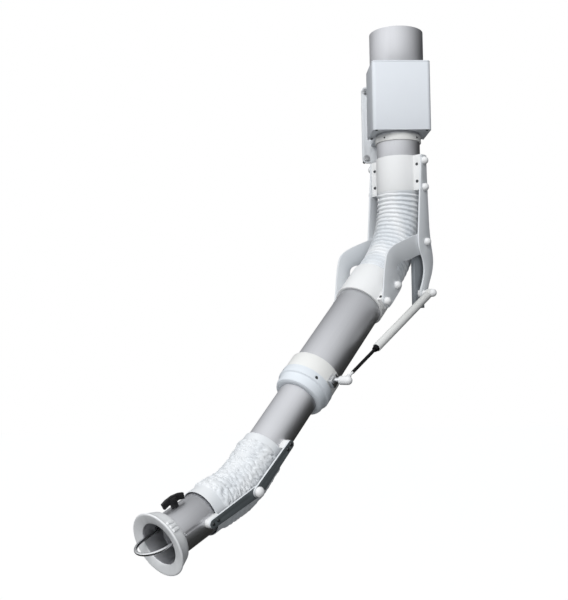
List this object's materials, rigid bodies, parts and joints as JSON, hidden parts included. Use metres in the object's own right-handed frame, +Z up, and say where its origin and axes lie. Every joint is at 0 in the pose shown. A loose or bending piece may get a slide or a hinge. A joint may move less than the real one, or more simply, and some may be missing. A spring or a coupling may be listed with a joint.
{
  "type": "fume extraction arm",
  "caption": "Wall-mounted articulated fume extraction arm: swivel bracket, plated elbow with gas spring, telescopic tube, linked nozzle with damper and hood ring.",
  "frame": {"origin": "on the wall face, at the centre of the four wall studs", "axes": "+X to the right as seen from the room, +Y into the wall, +Z up"},
  "size_m": [0.6292, 0.7082, 1.1246],
  "materials": {
    "plate_paint": "satin powder coat",
    "cover_paint": "satin powder coat",
    "duct_aluminium": "satin anodised",
    "sleeve_plastic": "smooth matt",
    "ring_cream": "smooth matt",
    "ring_white": "smooth matt",
    "hose_white": "coated woven hose",
    "bar_paint": "matt",
    "link_paint": "matt",
    "cap_white": "gloss",
    "bolt_steel": "plated",
    "screw_dark": "dark plated",
    "bush_plastic": "plain bearing plastic",
    "cast_grey": "cast",
    "spring_paint": "satin",
    "rod_black": "hard black",
    "handle_steel": "polished stainless",
    "knob_black": "moulded"
  },
  "bodies": {
    "bracket": {"wall_plate": "plate_paint", "wall_bolts": "bolt_steel", "console": "plate_paint", "box_cover": "cover_paint", "top_panel": "cover_paint", "bottom_panel": "cover_paint", "panel_screws": "screw_dark", "top_spigot": "duct_aluminium", "reducer": "duct_aluminium", "swivel_housing": "cast_grey", "swivel_bush": "bush_plastic"},
    "swivel_head": {"down_tube": "duct_aluminium", "stop_ring": "screw_dark", "swivel_collar": "ring_cream", "head_screws": "screw_dark", "upper_sleeve": "sleeve_plastic", "upper_saddles": "sleeve_plastic", "upper_plate_right": "plate_paint", "upper_plate_left": "plate_paint", "support_bars": "bar_paint", "bolt_spacers": "sleeve_plastic", "head_bolts": "bolt_steel", "pivot_bolts": "bolt_steel", "pivot_washers": "bush_plastic", "upper_caps": "cap_white", "upper_hose": "hose_white"},
    "forearm": {"lower_plate_right": "plate_paint", "lower_plate_left": "plate_paint", "lower_sleeve": "sleeve_plastic", "lower_saddles": "sleeve_plastic", "arm_bolts": "bolt_steel", "lower_caps": "cap_white", "arm_screws": "screw_dark", "outer_tube": "duct_aluminium", "clamp_ring": "ring_cream", "spring_lug": "bolt_steel", "lug_screws": "bolt_steel", "guide_ring": "ring_white", "guide_bush": "bush_plastic"},
    "spring_cylinder": {"spring_cylinder": "spring_paint", "spring_gland": "rod_black"},
    "spring_rod": {"spring_rod": "rod_black", "rod_end": "cap_white"},
    "slide_ring": {"wear_ring": "bush_plastic"},
    "inner_arm": {"inner_tube": "duct_aluminium", "upper_link_blocks": "sleeve_plastic", "upper_links": "link_paint", "upper_link_screws": "screw_dark", "link_pins": "bolt_steel", "link_caps": "cap_white", "lower_hose": "hose_white"},
    "nozzle": {"nozzle_tube": "duct_aluminium", "lower_link_blocks": "sleeve_plastic", "lower_links": "link_paint", "nozzle_screws": "screw_dark", "hood_ring": "ring_white", "handle_loop": "handle_steel"},
    "damper": {"damper_blade": "handle_steel", "damper_shaft": "handle_steel", "damper_knob": "knob_black"}
  },
  "joints": [
    {"name": "swivel", "type": "hinge", "parent": "bracket", "child": "swivel_head", "pos_m": [0, -0.11, -0.02], "axis": [0, 0, 1], "range_deg": [-40, 130]},
    {"name": "elbow", "type": "hinge", "parent": "swivel_head", "child": "forearm", "pos_m": [0, -0.11, -0.309], "axis": [-0.7071, 0.7071, 0], "range_deg": [-25, 35], "deforming": ["upper_hose"]},
    {"name": "spring_swing", "type": "hinge", "parent": "swivel_head", "child": "spring_cylinder", "pos_m": [-0.01061, -0.12061, -0.4273], "axis": [-0.7071, 0.7071, 0], "range_deg": [-30, 41.6]},
    {"name": "spring_stroke", "type": "slide", "parent": "spring_cylinder", "child": "spring_rod", "axis": [-0.6045, -0.6045, -0.5187], "range_m": [-0.0411, 0.0572]},
    {"name": "telescope", "type": "slide", "parent": "forearm", "child": "slide_ring", "axis": [-0.5171, -0.5171, -0.682], "range_m": [-0.09, 0.15]},
    {"name": "tube_turn", "type": "hinge", "parent": "slide_ring", "child": "inner_arm", "pos_m": [-0.15514, -0.26514, -0.5136], "axis": [-0.5171, -0.5171, -0.682], "range_deg": [-90, 90]},
    {"name": "lower_elbow", "type": "hinge", "parent": "inner_arm", "child": "nozzle", "pos_m": [-0.37957, -0.48957, -0.80888], "axis": [-0.7071, 0.7071, 0], "range_deg": [-65, 35], "deforming": ["lower_hose"]},
    {"name": "damper_turn", "type": "hinge", "parent": "nozzle", "child": "damper", "pos_m": [-0.47369, -0.58369, -0.85872], "axis": [-0.2894, -0.24, 0.9266], "range_deg": [-80, 10]}
  ],
  "couplings": [
    {"joint": "spring_swing", "follows": "elbow", "ratio": 1.16},
    {"joint": "spring_stroke", "follows": "elbow", "m_per_rad": 0.092}
  ]
}
